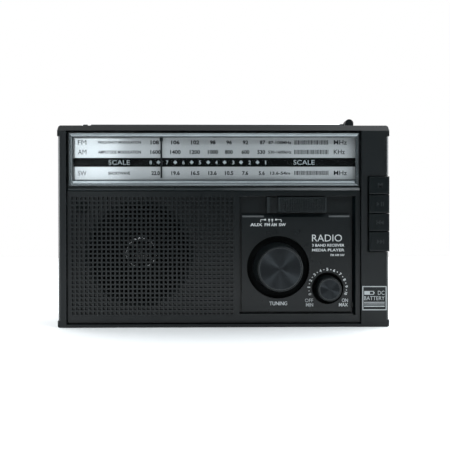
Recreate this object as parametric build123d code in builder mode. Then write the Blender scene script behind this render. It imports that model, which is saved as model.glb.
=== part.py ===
from build123d import *
import math
import os

os.makedirs("parts", exist_ok=True)

# ---------------------------------------------------------------------------
# Portable three-band shortwave receiver with a media player
# X right, Y to the rear, Z up, millimetres.  Origin at the bottom centre.
# Depth d is counted to the rear from the plane of the front rim.
# ---------------------------------------------------------------------------
YF = -27.75                 # y of the front rim plane
HW = 109.2                  # half width of the cabinet
BAND = 109.5                # half width over the proud top and bottom bands
H = 134.0                   # cabinet height
D_SEAM = 30.0               # depth of the joint between the shells
D_REAR = 68.0               # depth of the rear face
WALL = 2.2                  # shell thickness
AP_X0, AP_X1 = -103.8, 91.0     # front aperture
AP_Z0, AP_Z1 = 2.2, 129.9
FA_X0, FA_X1 = -103.45, 90.65   # fascia
FA_Z0, FA_Z1 = 3.5, 93.0
GR_COLS, GR_ROWS = 37, 27       # speaker grille
GR_X0, GR_Z0 = -99.73, 85.43
GR_PX, GR_PZ = 2.917, 2.921
GR_HOLE = 1.75
SPK_X, SPK_Z = -56.1, 49.0
SPK_R = 35.9
TUN_X, TUN_Z = 36.1, 39.6       # tuning axis
VOL_X, VOL_Z = 69.1, 25.6       # volume axis
DRUM_R = 22.7                   # cord line on the drum
CORD_D = 14.0                   # depth of the cord plane
CORD_R = 0.3
PUL_R = 4.0                     # cord line on the pulleys
PUL_RIGHT = (80.0, 118.0)
PUL_LEFT = (-94.0, 118.0)
PUL_MID = (-12.0, 104.0)
PTR_X = -41.6                   # dial pointer at rest
ANT_X, ANT_D, ANT_Z = 92.9, 50.0, 139.2   # aerial elbow
KEY_Z = [(87.85, 99.7), (75.45, 87.5), (63.55, 75.1), (50.25, 63.2)]


def front(d):
    """Plane parallel to the front, at depth d, seen from the front."""
    return Plane.XZ.offset(-(YF + d))


def slab(x0, x1, z0, z1, d0, d1, mode=Mode.ADD, r=0.0):
    with BuildSketch(front(d0)) as s:
        with Locations(((x0 + x1) / 2, (z0 + z1) / 2)):
            if r > 0:
                RectangleRounded(x1 - x0, z1 - z0, r)
            else:
                Rectangle(x1 - x0, z1 - z0)
    extrude(s.sketch, amount=-(d1 - d0), mode=mode)


def disc(x, z, r, d0, d1, mode=Mode.ADD, ri=0.0):
    with BuildSketch(front(d0)) as s:
        with Locations((x, z)):
            Circle(r)
            if ri > 0:
                Circle(ri, mode=Mode.SUBTRACT)
    extrude(s.sketch, amount=-(d1 - d0), mode=mode)


def turned(x, z, pts, mode=Mode.ADD):
    """Solid of revolution about the fore-and-aft axis through (x, z);
    pts are (depth, radius)."""
    with BuildSketch(Plane.YZ.offset(x)) as s:
        with BuildLine():
            Polyline(*[(YF + d, z + r) for d, r in pts], close=True)
        make_face()
    revolve(s.sketch, axis=Axis((x, 0, z), (0, 1, 0)), mode=mode)


def rod_x(x0, x1, d, z, r, mode=Mode.ADD, ri=0.0):
    with BuildSketch(Plane.YZ.offset(x0)) as s:
        with Locations((YF + d, z)):
            Circle(r)
            if ri > 0:
                Circle(ri, mode=Mode.SUBTRACT)
    extrude(s.sketch, amount=x1 - x0, mode=mode)


def rod_z(x, d, z0, z1, r, mode=Mode.ADD, ri=0.0):
    with BuildSketch(Plane.XY.offset(z0)) as s:
        with Locations((x, YF + d)):
            Circle(r)
            if ri > 0:
                Circle(ri, mode=Mode.SUBTRACT)
    extrude(s.sketch, amount=z1 - z0, mode=mode)


SCREW_POS = [(-103.0, 12.0), (103.0, 12.0), (-103.0, 124.0), (103.0, 124.0)]
BOARD_POSTS = [(8.2, 14.0), (8.2, 70.0), (88.3, 91.5), (88.3, 14.0)]
CHASSIS_POSTS = [(-103.6, 99.0), (-103.6, 113.0), (91.2, 104.0), (91.2, 118.0)]
SPK_SCREWS = [(SPK_X + 37.6 * math.cos(math.radians(a)), SPK_Z + 37.6 * math.sin(math.radians(a)))
              for a in (45, 135, 225, 315)]

# ---------------------------------------------------------------- casings
with BuildPart() as front_cabinet:
    slab(-HW, HW, 4.9, 126.4, 0, D_SEAM)
    chamfer(front_cabinet.edges().filter_by(Axis.Z).group_by(Axis.Y)[0], 1.3)
    slab(-BAND, BAND, 126.4, H, 0, D_SEAM)
    slab(-BAND, BAND, 0, 4.9, 0, D_SEAM)
    chamfer(front_cabinet.edges().filter_by(Axis.X).group_by(Axis.Y)[0].sort_by(Axis.Z)[-1], 4.1)
    chamfer(front_cabinet.edges().filter_by(Axis.X).group_by(Axis.Y)[0].sort_by(Axis.Z)[0], 0.8)
    fillet(front_cabinet.edges().filter_by(Axis.Y).group_by(Axis.Z)[-1], 1.4)
    fillet(front_cabinet.edges().filter_by(Axis.Y).group_by(Axis.Z)[0], 1.4)
    slab(-107, 107, 2.2, 131.2, 3.0, D_SEAM, Mode.SUBTRACT)
    slab(AP_X0, AP_X1, AP_Z0, AP_Z1, 0, 3.0, Mode.SUBTRACT)
    # pocket of the four player keys
    slab(93.8, HW, 48.5, 101.5, 0.0 + 3.0, 10.5)
    slab(95.2, BAND + 1, 49.9, 100.05, 0, 9.0, Mode.SUBTRACT)
    for kz0, kz1 in KEY_Z:
        disc(101.0, (kz0 + kz1) / 2, 1.8, 9.0, 10.5, Mode.SUBTRACT)
    # screw pillars joined to the side walls
    for sx, sz in SCREW_POS:
        disc(sx, sz, 3.6, 12.0, D_SEAM)
        slab(min(sx, math.copysign(107.5, sx)), max(sx, math.copysign(107.5, sx)), sz - 1.5, sz + 1.5, 12.0, D_SEAM)
        disc(sx, sz, 1.3, 18.0, D_SEAM, Mode.SUBTRACT)
    # rails that carry the player board
    slab(93.8, 95.4, 104.6, 108.0, 3.0, 19.6)
    slab(93.8, 107.2, 104.6, 106.2, 3.0, 19.6)
    # side sockets
    with BuildSketch(Plane.YZ.offset(100)) as side_holes:
        with Locations((YF + 24.4, 34.0)):
            Circle(3.3)
        with Locations((YF + 23.4, 62.0)):
            Rectangle(7.4, 14.6)
        with Locations((YF + 22.0, 88.0)):
            Rectangle(2.8, 13.0)
    extrude(side_holes.sketch, amount=20, mode=Mode.SUBTRACT)
front_cabinet.part.label = "front_cabinet"
export_step(front_cabinet.part, "parts/front_cabinet.step")

with BuildPart() as rear_cabinet:
    slab(-HW, HW, 0, H, D_SEAM, D_REAR)
    fillet(rear_cabinet.edges().group_by(Axis.Y)[-1], 5.0)
    slab(-107, 107, 2.2, 131.8, D_SEAM, D_REAR - WALL, Mode.SUBTRACT)
    # battery bay, moulded in, for three D cells in a row
    slab(-99.3, 99.3, 2.2, 42.6, 29.8, D_REAR - WALL)
    slab(-98.0, 98.0, 5.0, 41.2, 31.2, D_REAR - WALL, Mode.SUBTRACT)
    slab(-95.0, 95.0, 6.2, 39.8, D_REAR - WALL - 0.1, D_REAR, Mode.SUBTRACT)
    # pin holes of the battery door
    rod_x(-97.2, -94.9, 66.9, 7.5, 0.75, Mode.SUBTRACT)
    rod_x(94.9, 97.2, 66.9, 7.5, 0.75, Mode.SUBTRACT)
    # screw pillars with recessed heads
    for sx, sz in SCREW_POS:
        disc(sx, sz, 3.6, D_SEAM, D_REAR - 1.0)
        slab(min(sx, math.copysign(107.5, sx)), max(sx, math.copysign(107.5, sx)), sz - 1.5, sz + 1.5, D_SEAM, D_REAR - 1.0)
        disc(sx, sz, 2.9, 40.0, D_REAR, Mode.SUBTRACT)
        disc(sx, sz, 1.75, D_SEAM, 40.0, Mode.SUBTRACT)
    # aerial seat: boss under the roof and the hole for the swivel
    rod_z(ANT_X, ANT_D, 124.0, 132.0, 5.2)
    rod_z(ANT_X, ANT_D, 123.0, 135.0, 3.1, Mode.SUBTRACT)
    # mains inlet hole
    slab(-94.2, -73.8, 56.4, 67.6, D_REAR - WALL - 0.1, D_REAR, Mode.SUBTRACT, 2.0)
    # ventilation slots over the transformer
    for k in range(6):
        slab(-92, -60, 84 + 4.2 * k, 85.9 + 4.2 * k, D_REAR - WALL - 0.1, D_REAR, Mode.SUBTRACT, 0.9)
    # transformer pillars
    for tx in (-92.0, -60.0):
        for tz in (79.0, 107.6):
            disc(tx, tz, 2.4, 62.3, D_REAR - WALL)
rear_cabinet.part.label = "rear_cabinet"
export_step(rear_cabinet.part, "parts/rear_cabinet.step")

with BuildPart() as battery_door:
    slab(-94.6, 94.6, 7.5, 39.4, 65.8, D_REAR)
    rod_x(-94.6, 94.6, 66.9, 7.5, 1.1)
    rod_x(-96.6, 96.6, 66.9, 7.5, 0.6)
    slab(-12, 12, 33.5, 37.8, 67.2, D_REAR, Mode.SUBTRACT, 1.5)
    for k in range(3):
        slab(-9, 9, 34.4 + 1.2 * k, 34.9 + 1.2 * k, 67.2, 67.7)
    slab(-90, 90, 18.0, 19.4, 64.3, 65.8)
battery_door.part.label = "battery_door"
export_step(battery_door.part, "parts/battery_door.step")

with BuildPart() as battery_springs:
    for bx in (-98.0,):
        for k in range(4):
            rod_x(bx + 0.6 + 1.3 * k, bx + 1.3 + 1.3 * k, 48.6, 23.1, 9.0 - 1.4 * k, ri=8.2 - 1.4 * k)
        rod_x(bx, bx + 0.6, 48.6, 23.1, 9.6)
        slab(bx + 0.6, bx + 5.2, 13.2, 14.6, 48.2, 49.0)
        slab(bx + 1.2, bx + 5.2, 14.9, 19.2, 48.2, 49.0)
battery_springs.part.label = "battery_springs"
export_step(battery_springs.part, "parts/battery_springs.step")

with BuildPart() as battery_contacts:
    slab(97.4, 98.0, 12.0, 34.0, 38.0, 59.0)
    rod_x(96.2, 97.4, 48.6, 23.1, 4.0)
battery_contacts.part.label = "battery_contacts"
export_step(battery_contacts.part, "parts/battery_contacts.step")

# ---------------------------------------------------------------- front
REC_X0, REC_X1, REC_Z0, REC_Z1 = 10.4, 86.1, 8.8, 86.9
with BuildPart() as front_fascia:
    slab(FA_X0, FA_X1, FA_Z0, FA_Z1, 2.0, 4.6)
    chamfer(front_fascia.edges().filter_by(Axis.X).group_by(Axis.Y)[0].sort_by(Axis.Z)[-1], 1.6, 2.9)
    slab(FA_X0, FA_X1, 91.0, 129.6, 3.6, 4.6)
    slab(-106.5, 93.4, 2.6, 129.6, 3.0, 4.6)
    slab(FA_X0 - 0.2, FA_X1 + 0.2, 93.0, 129.8, 2.9, 3.6, Mode.SUBTRACT)
    # window in front of the dial scale
    slab(-99.9, 87.9, 98.0, 126.0, 3.0, 4.6, Mode.SUBTRACT)
    # seat of the grille panel, and the speaker opening behind it
    slab(-101.6, 7.3, 7.6, 87.4, 2.0, 3.6, Mode.SUBTRACT)
    disc(SPK_X, SPK_Z, SPK_R, 3.6, 4.6, Mode.SUBTRACT)
    disc(-93.9, 79.59, 4.4, 3.6, 4.6, Mode.SUBTRACT)
    # control recess
    slab(REC_X0 - 1.4, REC_X1 + 1.6, REC_Z0 - 1.4, REC_Z1 + 1.4, 3.0, 7.6)
    slab(REC_X0, REC_X1, REC_Z0, REC_Z1, 2.0, 6.0, Mode.SUBTRACT)
    # sloped right and lower sides of the recess
    with BuildSketch(Plane.XY.offset(REC_Z0 - 1.0)) as slope_r:
        with BuildLine():
            Polyline((REC_X1 - 0.1, YF + 2.0), (REC_X1 + 1.5, YF + 2.0), (REC_X1 - 0.1, YF + 5.6), close=True)
        make_face()
    extrude(slope_r.sketch, amount=REC_Z1 - REC_Z0 + 1.0, mode=Mode.SUBTRACT)
    disc(TUN_X, TUN_Z, 3.4, 6.0, 7.6, Mode.SUBTRACT)
    disc(VOL_X, VOL_Z, 3.4, 6.0, 7.6, Mode.SUBTRACT)
    slab(43.5, 56.5, 79.2, 82.8, 6.0, 7.6, Mode.SUBTRACT)
    # posts of the main board and of the dial chassis
    for bx, bz in BOARD_POSTS:
        disc(bx, bz, 2.6, 4.6, 27.9)
        disc(bx, bz, 0.9, 20.0, 27.9, Mode.SUBTRACT)
    for bx, bz in CHASSIS_POSTS:
        disc(bx, bz, 1.9, 4.6, 7.2)
        disc(bx, bz, 0.7, 4.6, 7.2, Mode.SUBTRACT)
    # tube of the indicator lamp
    disc(-93.9, 79.59, 5.4, 4.6, 8.0, ri=4.4)
    disc(-93.9, 79.59, 4.6, 6.6, 8.0, ri=2.6)
front_fascia.part.label = "front_fascia"
export_step(front_fascia.part, "parts/front_fascia.step")

def rect_wire(x0, x1, z0, z1, d):
    y = YF + d
    return Wire.make_polygon([(x0, y, z0), (x1, y, z0), (x1, y, z1), (x0, y, z1)], close=True)


# one face with all the square holes, made whole because cutting them one by
# one takes minutes
grille_face = Face(
    rect_wire(-101.6, 7.3, 7.6, 87.4, 2.0),
    [rect_wire(GR_X0 + GR_PX * c - GR_HOLE / 2, GR_X0 + GR_PX * c + GR_HOLE / 2,
               GR_Z0 - GR_PZ * r - GR_HOLE / 2, GR_Z0 - GR_PZ * r + GR_HOLE / 2, 2.0)
     for c in range(GR_COLS) for r in range(GR_ROWS)])
with BuildPart() as speaker_grille:
    extrude(grille_face, amount=1.6, dir=(0, 1, 0))
speaker_grille.part.label = "speaker_grille"
export_step(speaker_grille.part, "parts/speaker_grille.step")

with BuildPart() as control_plate:
    slab(11.9, 84.0, 10.3, 75.0, 2.5, 6.0)
    chamfer(control_plate.edges().filter_by(Axis.X).group_by(Axis.Y)[0].sort_by(Axis.Z)[-1], 1.2, 2.1)
    disc(TUN_X, TUN_Z, 20.75, 2.5, 6.0, Mode.SUBTRACT)
    disc(VOL_X, VOL_Z, 10.5, 2.5, 6.0, Mode.SUBTRACT)
control_plate.part.label = "control_plate"
export_step(control_plate.part, "parts/control_plate.step")

with BuildPart() as power_badge:
    slab(91.5, 107.8, 11.1, 27.3, -0.25, 0.0, r=0.6)
power_badge.part.label = "power_badge"
export_step(power_badge.part, "parts/power_badge.step")

with BuildPart() as indicator_led:
    disc(-93.9, 79.59, 2.5, 5.0, 10.5)
    fillet(indicator_led.edges().group_by(Axis.Y)[0], 1.8)
    disc(-93.9, 79.59, 2.9, 8.0, 9.0)
    for k in (-1.27, 1.27):
        disc(-93.9 + k, 79.59, 0.3, 10.5, 16.0)
indicator_led.part.label = "indicator_led"
export_step(indicator_led.part, "parts/indicator_led.step")

# ---------------------------------------------------------------- dial
with BuildPart() as dial_lens:
    slab(-102.05, 89.5, 93.25, 128.45, -0.5, 3.6)
    chamfer(dial_lens.edges().group_by(Axis.Y)[0], 0.9)
    slab(-100.2, 88.0, 97.8, 126.3, 1.7, 3.6, Mode.SUBTRACT)
dial_lens.part.label = "dial_lens"
export_step(dial_lens.part, "parts/dial_lens.step")

with BuildPart() as dial_scale:
    slab(-101.0, 89.0, 96.4, 127.5, 6.4, 7.2)
dial_scale.part.label = "dial_scale"
export_step(dial_scale.part, "parts/dial_scale.step")

with BuildPart() as dial_chassis:
    slab(-105.4, 92.8, 95.0, 125.4, 7.2, 8.8)
    slab(-101.0, 89.0, 95.0, 127.5, 7.2, 8.8)
    slab(-101.0, 89.0, 95.0, 96.4, 8.8, 11.5)
    for px, pz in (PUL_RIGHT, PUL_LEFT, PUL_MID):
        disc(px, pz, 1.0, 8.8, 15.8)
        disc(px, pz, 2.4, 8.8, 12.3)
    for bx, bz in CHASSIS_POSTS:
        disc(bx, bz, 1.1, 7.2, 8.8, Mode.SUBTRACT)
dial_chassis.part.label = "dial_chassis"
export_step(dial_chassis.part, "parts/dial_chassis.step")

with BuildPart() as dial_pointer:
    slab(PTR_X - 0.55, PTR_X + 0.55, 99.2, 128.9, 5.0, 5.6)
    slab(PTR_X - 1.1, PTR_X + 1.1, 123.6, 128.9, 5.0, 5.6)
    slab(PTR_X - 1.5, PTR_X + 1.5, 127.9, 128.9, 5.0, 15.2)
    slab(PTR_X - 4.0, PTR_X + 4.0, 119.8, 128.9, 12.8, 15.2)
    slab(PTR_X - 4.5, PTR_X + 4.5, 121.35, 122.65, 13.3, 15.3, Mode.SUBTRACT)
dial_pointer.part.label = "dial_pointer"
export_step(dial_pointer.part, "parts/dial_pointer.step")

PULLEY = [(12.5, 1.1), (12.5, 5.0), (13.2, 5.0), (13.5, 3.5), (14.5, 3.5), (14.8, 5.0), (15.5, 5.0), (15.5, 1.1)]
with BuildPart() as dial_pulley_left:
    turned(PUL_LEFT[0], PUL_LEFT[1], PULLEY)
dial_pulley_left.part.label = "dial_pulley_left"
export_step(dial_pulley_left.part, "parts/dial_pulley_left.step")

with BuildPart() as dial_pulley_right:
    turned(PUL_RIGHT[0], PUL_RIGHT[1], PULLEY)
dial_pulley_right.part.label = "dial_pulley_right"
export_step(dial_pulley_right.part, "parts/dial_pulley_right.step")

with BuildPart() as dial_pulley_middle:
    turned(PUL_MID[0], PUL_MID[1], PULLEY)
dial_pulley_middle.part.label = "dial_pulley_middle"
export_step(dial_pulley_middle.part, "parts/dial_pulley_middle.step")

with BuildPart() as tuning_drum:
    turned(TUN_X, TUN_Z, [(12.2, 3.05), (12.2, 24.2), (13.2, 24.2), (13.4, 22.2), (14.6, 22.2),
                          (14.8, 24.2), (15.8, 24.2), (15.8, 3.05)])
    for a in (30, 150, 270):
        disc(TUN_X + 13.5 * math.cos(math.radians(a)), TUN_Z + 13.5 * math.sin(math.radians(a)), 5.0, 12.2, 15.8, Mode.SUBTRACT)
tuning_drum.part.label = "tuning_drum"
export_step(tuning_drum.part, "parts/tuning_drum.step")


# the cord runs round the drum, the right, left and middle pulleys
def tangent(c1, r1, c2, r2, side1, side2):
    """Ends of the line that leaves circle 1 and meets circle 2; side is +1
    where the circle lies to the right of the direction of travel."""
    dx, dz = c2[0] - c1[0], c2[1] - c1[1]
    dist = math.hypot(dx, dz)
    base = math.atan2(dz, dx)
    k = (side1 * r1 - side2 * r2) / dist
    # unit normal n (to the left of travel) with c1.n + s1 r1 = c2.n + s2 r2
    for ang in (base + math.acos(max(-1, min(1, k))), base - math.acos(max(-1, min(1, k)))):
        nx, nz = math.cos(ang), math.sin(ang)
        p1 = (c1[0] + side1 * r1 * nx, c1[1] + side1 * r1 * nz)
        p2 = (c2[0] + side2 * r2 * nx, c2[1] + side2 * r2 * nz)
        tx, tz = p2[0] - p1[0], p2[1] - p1[1]
        if tx * nz - tz * nx < 0:
            continue
        # n must be to the left of the travel direction
        return p1, p2
    raise ValueError("no tangent")


DRUM_C = (TUN_X, TUN_Z)
t_pr_dr = tangent(PUL_RIGHT, PUL_R, DRUM_C, DRUM_R, 1, 1)
t_dr_pm = tangent(DRUM_C, DRUM_R, PUL_MID, PUL_R, 1, -1)
t_pm_pl = tangent(PUL_MID, PUL_R, PUL_LEFT, PUL_R, -1, 1)
t_pl_pr = tangent(PUL_LEFT, PUL_R, PUL_RIGHT, PUL_R, 1, 1)


def arc_mid(c, r, a, b, clockwise=True):
    a0 = math.atan2(a[1] - c[1], a[0] - c[0])
    a1 = math.atan2(b[1] - c[1], b[0] - c[0])
    if clockwise:
        while a1 > a0:
            a1 -= 2 * math.pi
    else:
        while a1 < a0:
            a1 += 2 * math.pi
    m = (a0 + a1) / 2
    return (c[0] + r * math.cos(m), c[1] + r * math.sin(m))


bot_a = (TUN_X + DRUM_R * math.cos(math.radians(-86)), TUN_Z + DRUM_R * math.sin(math.radians(-86)))
bot_b = (TUN_X + DRUM_R * math.cos(math.radians(-94)), TUN_Z + DRUM_R * math.sin(math.radians(-94)))
with BuildPart() as dial_cord:
    with BuildLine(front(CORD_D)) as cord_path:
        ThreePointArc(bot_b, arc_mid(DRUM_C, DRUM_R, bot_b, t_dr_pm[0]), t_dr_pm[0])
        Line(t_dr_pm[0], t_dr_pm[1])
        ThreePointArc(t_dr_pm[1], arc_mid(PUL_MID, PUL_R, t_dr_pm[1], t_pm_pl[0], False), t_pm_pl[0])
        Line(t_pm_pl[0], t_pm_pl[1])
        ThreePointArc(t_pm_pl[1], arc_mid(PUL_LEFT, PUL_R, t_pm_pl[1], t_pl_pr[0]), t_pl_pr[0])
        Line(t_pl_pr[0], t_pl_pr[1])
        ThreePointArc(t_pl_pr[1], arc_mid(PUL_RIGHT, PUL_R, t_pl_pr[1], t_pr_dr[0]), t_pr_dr[0])
        Line(t_pr_dr[0], t_pr_dr[1])
        ThreePointArc(t_pr_dr[1], arc_mid(DRUM_C, DRUM_R, t_pr_dr[1], bot_a), bot_a)
    cord_wire = cord_path.wires()[0]
    with BuildSketch(Plane(origin=cord_wire @ 0, z_dir=cord_wire % 0)) as cord_section:
        Circle(CORD_R)
    sweep(cord_section.sketch, path=cord_wire)
print("cord length", round(cord_wire.length, 1), "volume", round(dial_cord.part.volume, 2),
      "expected", round(cord_wire.length * math.pi * CORD_R ** 2, 2))
dial_cord.part.label = "dial_cord"
export_step(dial_cord.part, "parts/dial_cord.step")

with BuildPart() as tuning_shaft:
    disc(TUN_X, TUN_Z, 3.0, -6.0, 20.0)
tuning_shaft.part.label = "tuning_shaft"
export_step(tuning_shaft.part, "parts/tuning_shaft.step")

with BuildPart() as tuning_knob:
    turned(TUN_X, TUN_Z, [(-6.0, 0), (-11.6, 0), (-11.6, 13.6), (-12.5, 13.6), (-12.5, 14.2), (-12.1, 14.6),
                          (-11.0, 14.75), (4.4, 16.3), (5.3, 16.5), (5.3, 14.6), (-6.0, 13.4)])
    disc(TUN_X, TUN_Z, 6.0, -6.0, 5.0, ri=3.0)
tuning_knob.part.label = "tuning_knob"
export_step(tuning_knob.part, "parts/tuning_knob.step")

with BuildPart() as tuning_knob_disc:
    disc(TUN_X, TUN_Z, 13.55, -12.3, -11.6)
tuning_knob_disc.part.label = "tuning_knob_disc"
export_step(tuning_knob_disc.part, "parts/tuning_knob_disc.step")

with BuildPart() as tuning_capacitor:
    slab(TUN_X - 11, TUN_X + 11, TUN_Z - 11, TUN_Z + 11, 16.8, 27.9, r=1.0)
    disc(TUN_X, TUN_Z, 5.0, 16.2, 16.8)
    disc(TUN_X, TUN_Z, 3.1, 16.2, 20.5, Mode.SUBTRACT)
tuning_capacitor.part.label = "tuning_capacitor"
export_step(tuning_capacitor.part, "parts/tuning_capacitor.step")

# ---------------------------------------------------------------- volume
with BuildPart() as volume_shaft:
    disc(VOL_X, VOL_Z, 3.0, -2.0, 19.5)
volume_shaft.part.label = "volume_shaft"
export_step(volume_shaft.part, "parts/volume_shaft.step")

with BuildPart() as volume_knob:
    turned(VOL_X, VOL_Z, [(-2.0, 0), (-5.1, 0), (-5.1, 6.9), (-5.8, 6.9), (-5.8, 7.4), (-5.5, 7.75),
                          (-4.8, 7.85), (5.3, 8.6), (5.3, 7.2), (-2.0, 6.6)])
    disc(VOL_X, VOL_Z, 4.6, -2.0, 5.0, ri=3.0)
volume_knob.part.label = "volume_knob"
export_step(volume_knob.part, "parts/volume_knob.step")

with BuildPart() as volume_knob_disc:
    disc(VOL_X, VOL_Z, 6.85, -5.65, -5.1)
volume_knob_disc.part.label = "volume_knob_disc"
export_step(volume_knob_disc.part, "parts/volume_knob_disc.step")

with BuildPart() as volume_pot:
    disc(VOL_X, VOL_Z, 8.5, 17.0, 27.0)
    disc(VOL_X, VOL_Z, 4.5, 10.5, 17.0)
    disc(VOL_X, VOL_Z, 3.1, 10.5, 20.0, Mode.SUBTRACT)
    slab(VOL_X - 4, VOL_X + 4, VOL_Z - 13.5, VOL_Z - 6, 26.0, 27.9)
volume_pot.part.label = "volume_pot"
export_step(volume_pot.part, "parts/volume_pot.step")

# ---------------------------------------------------------------- band slider
with BuildPart() as band_slider:
    slab(28.56, 67.82, 75.9, 86.1, 2.6, 5.7)
    slab(35.9, 67.82, 75.9, 86.1, -1.0, 2.6)
    chamfer(band_slider.edges().filter_by(Axis.X).group_by(Axis.Y)[0], 0.8)
    slab(28.56, 30.6, 75.9, 86.1, 1.2, 2.6)
    slab(30.6, 35.9, 75.9, 86.1, 2.6, 4.8, Mode.SUBTRACT)
    for k in range(18):
        slab(38.3 + 1.62 * k, 39.1 + 1.62 * k, 75.9, 86.1, -1.0, -0.45, Mode.SUBTRACT)
    slab(46.6, 49.4, 79.9, 82.1, 5.7, 22.0)
band_slider.part.label = "band_slider"
export_step(band_slider.part, "parts/band_slider.step")

with BuildPart() as band_switch:
    slab(36.0, 64.0, 76.6, 85.6, 20.4, 27.9)
    slab(43.5, 56.5, 79.4, 82.6, 20.4, 22.6, Mode.SUBTRACT)
band_switch.part.label = "band_switch"
export_step(band_switch.part, "parts/band_switch.step")

# ---------------------------------------------------------------- electronics
with BuildPart() as main_board:
    slab(4.0, 91.4, 9.5, 104.0, 27.9, 29.5)
    for bx, bz in BOARD_POSTS:
        disc(bx, bz, 1.2, 27.9, 29.5, Mode.SUBTRACT)
main_board.part.label = "main_board"
export_step(main_board.part, "parts/main_board.step")

with BuildPart() as if_cans:
    for cx, cz in ((17.0, 70.5), (28.5, 70.5), (72.0, 70.0), (83.5, 58.0)):
        slab(cx - 4.6, cx + 4.6, cz - 4.6, cz + 4.6, 16.6, 27.9, r=0.6)
        disc(cx, cz, 2.0, 16.6, 17.4, Mode.SUBTRACT)
if_cans.part.label = "if_cans"
export_step(if_cans.part, "parts/if_cans.step")

with BuildPart() as board_components:
    for cx, cz, cr, cl in ((20.0, 88.0, 4.0, 8.0), (31.0, 92.0, 4.0, 8.0), (78.0, 88.0, 5.0, 9.0), (80.0, 44.0, 4.0, 8.0)):
        disc(cx, cz, cr, 27.9 - cl, 27.9)
    slab(20.0, 40.0, 52.0, 59.0, 29.5, 32.6)
    slab(50.0, 68.0, 66.0, 73.0, 29.5, 32.6)
    for k in range(8):
        slab(14.0 + 7 * k, 18.0 + 7 * k, 95.0, 97.0, 26.2, 27.9)
board_components.part.label = "board_components"
export_step(board_components.part, "parts/board_components.step")

FER_Z, FER_D = 112.5, 24.5
with BuildPart() as ferrite_rod:
    rod_x(-60.0, 72.0, FER_D, FER_Z, 5.0)
ferrite_rod.part.label = "ferrite_rod"
export_step(ferrite_rod.part, "parts/ferrite_rod.step")

with BuildPart() as ferrite_coils:
    rod_x(-50.0, -26.0, FER_D, FER_Z, 5.9, ri=5.05)
    rod_x(30.0, 46.0, FER_D, FER_Z, 5.9, ri=5.05)
ferrite_coils.part.label = "ferrite_coils"
export_step(ferrite_coils.part, "parts/ferrite_coils.step")

with BuildPart() as ferrite_holders:
    for hx in (12.0, 58.0):
        rod_x(hx, hx + 5.0, FER_D, FER_Z, 6.8, ri=5.05)
        slab(hx, hx + 5.0, 96.0, 112.0, 29.5, 31.3)
ferrite_holders.part.label = "ferrite_holders"
export_step(ferrite_holders.part, "parts/ferrite_holders.step")

with BuildPart() as mains_transformer:
    slab(-95.0, -57.0, 76.0, 110.6, 42.0, 56.0)
    slab(-89.0, -63.0, 82.0, 104.6, 34.5, 62.2, r=3.0)
    for tx in (-92.0, -60.0):
        for tz in (79.0, 107.6):
            disc(tx, tz, 2.0, 56.0, 62.3)
mains_transformer.part.label = "mains_transformer"
export_step(mains_transformer.part, "parts/mains_transformer.step")

with BuildPart() as mains_inlet:
    slab(-94.1, -73.9, 56.5, 67.5, 50.0, D_REAR - 0.6, r=1.95)
    slab(-96.5, -71.5, 54.5, 69.5, 62.0, 65.8, r=2.0)
    slab(-91.6, -76.4, 58.4, 65.6, 54.0, D_REAR - 0.6, Mode.SUBTRACT, 3.5)
    for k in (-4.3, 4.3):
        disc(-84.0 + k, 62.0, 1.2, 54.0, 62.0)
mains_inlet.part.label = "mains_inlet"
export_step(mains_inlet.part, "parts/mains_inlet.step")

# ---------------------------------------------------------------- player
with BuildPart() as player_board:
    slab(94.4, 106.6, 28.5, 104.0, 18.0, 19.6)
player_board.part.label = "player_board"
export_step(player_board.part, "parts/player_board.step")

with BuildPart() as key_switches:
    for kz0, kz1 in KEY_Z:
        kz = (kz0 + kz1) / 2
        slab(98.0, 104.0, kz - 3, kz + 3, 14.5, 18.0)
        disc(101.0, kz, 1.6, 13.6, 14.5)
key_switches.part.label = "key_switches"
export_step(key_switches.part, "parts/key_switches.step")


def key_body(kz0, kz1):
    slab(95.6, 109.3, kz0, kz1, -2.0, 7.6)
    slab(97.4, 107.6, kz0 + 1.5, kz1 - 1.5, 0.0, 7.6, Mode.SUBTRACT)
    disc(101.0, (kz0 + kz1) / 2, 1.4, 0.0, 12.2)


with BuildPart() as mode_key:
    key_body(*KEY_Z[0])
    fillet(mode_key.edges().group_by(Axis.Y)[0], 0.9)
mode_key.part.label = "mode_key"
export_step(mode_key.part, "parts/mode_key.step")

with BuildPart() as play_key:
    key_body(*KEY_Z[1])
    fillet(play_key.edges().group_by(Axis.Y)[0], 0.9)
play_key.part.label = "play_key"
export_step(play_key.part, "parts/play_key.step")

with BuildPart() as previous_key:
    key_body(*KEY_Z[2])
    fillet(previous_key.edges().group_by(Axis.Y)[0], 0.9)
previous_key.part.label = "previous_key"
export_step(previous_key.part, "parts/previous_key.step")

with BuildPart() as next_key:
    key_body(*KEY_Z[3])
    fillet(next_key.edges().group_by(Axis.Y)[0], 0.9)
next_key.part.label = "next_key"
export_step(next_key.part, "parts/next_key.step")

with BuildPart() as usb_socket:
    slab(93.2, 108.6, 55.0, 69.0, 19.9, 26.9)
    slab(94.0, 108.6, 55.7, 68.3, 20.6, 26.2, Mode.SUBTRACT)
    slab(94.0, 107.6, 56.7, 67.3, 20.9, 22.0)
    slab(94.0, 96.0, 55.7, 68.3, 19.6, 21.0)
usb_socket.part.label = "usb_socket"
export_step(usb_socket.part, "parts/usb_socket.step")

with BuildPart() as card_socket:
    slab(93.4, 106.9, 81.0, 95.0, 19.6, 24.0)
    slab(95.0, 106.9, 82.3, 93.7, 20.9, 23.1, Mode.SUBTRACT)
card_socket.part.label = "card_socket"
export_step(card_socket.part, "parts/card_socket.step")

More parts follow.
